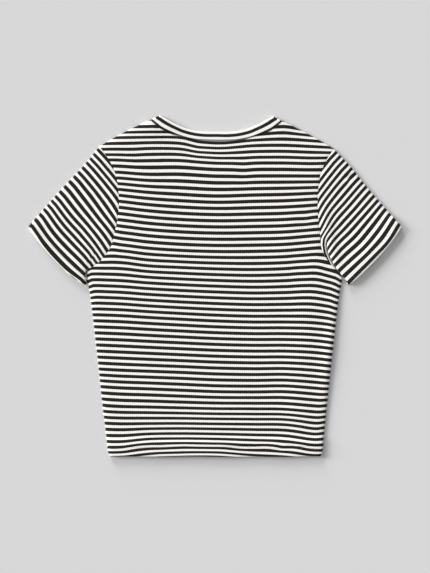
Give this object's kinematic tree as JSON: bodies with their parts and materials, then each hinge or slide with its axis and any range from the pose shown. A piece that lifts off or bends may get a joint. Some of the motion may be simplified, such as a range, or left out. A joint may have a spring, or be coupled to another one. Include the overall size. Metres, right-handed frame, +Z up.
{
  "type": "ribbed t-shirt",
  "caption": "Short-sleeved cropped rib-knit t-shirt with a round neckband and black and off-white stripes, laid flat with its back upwards.",
  "frame": {"origin": "middle of the laid shirt, on the surface that it lies on", "axes": "+Z up from the surface, through the front and then the back of the shirt; +Y from hem to neck; +X towards the sleeve on the right when the back is seen with the neck up"},
  "size_m": [0.5874, 0.5354, 0.0074],
  "materials": {
    "striped_rib": "matte cotton rib knit in even black and off-white stripes",
    "band_rib": "matte cotton rib knit, off-white with one black stripe along the band"
  },
  "bodies": {
    "root": {"back_panel": "striped_rib", "front_panel": "striped_rib", "sleeve_left": "striped_rib", "sleeve_right": "striped_rib", "neckband": "band_rib"}
  },
  "joints": []
}
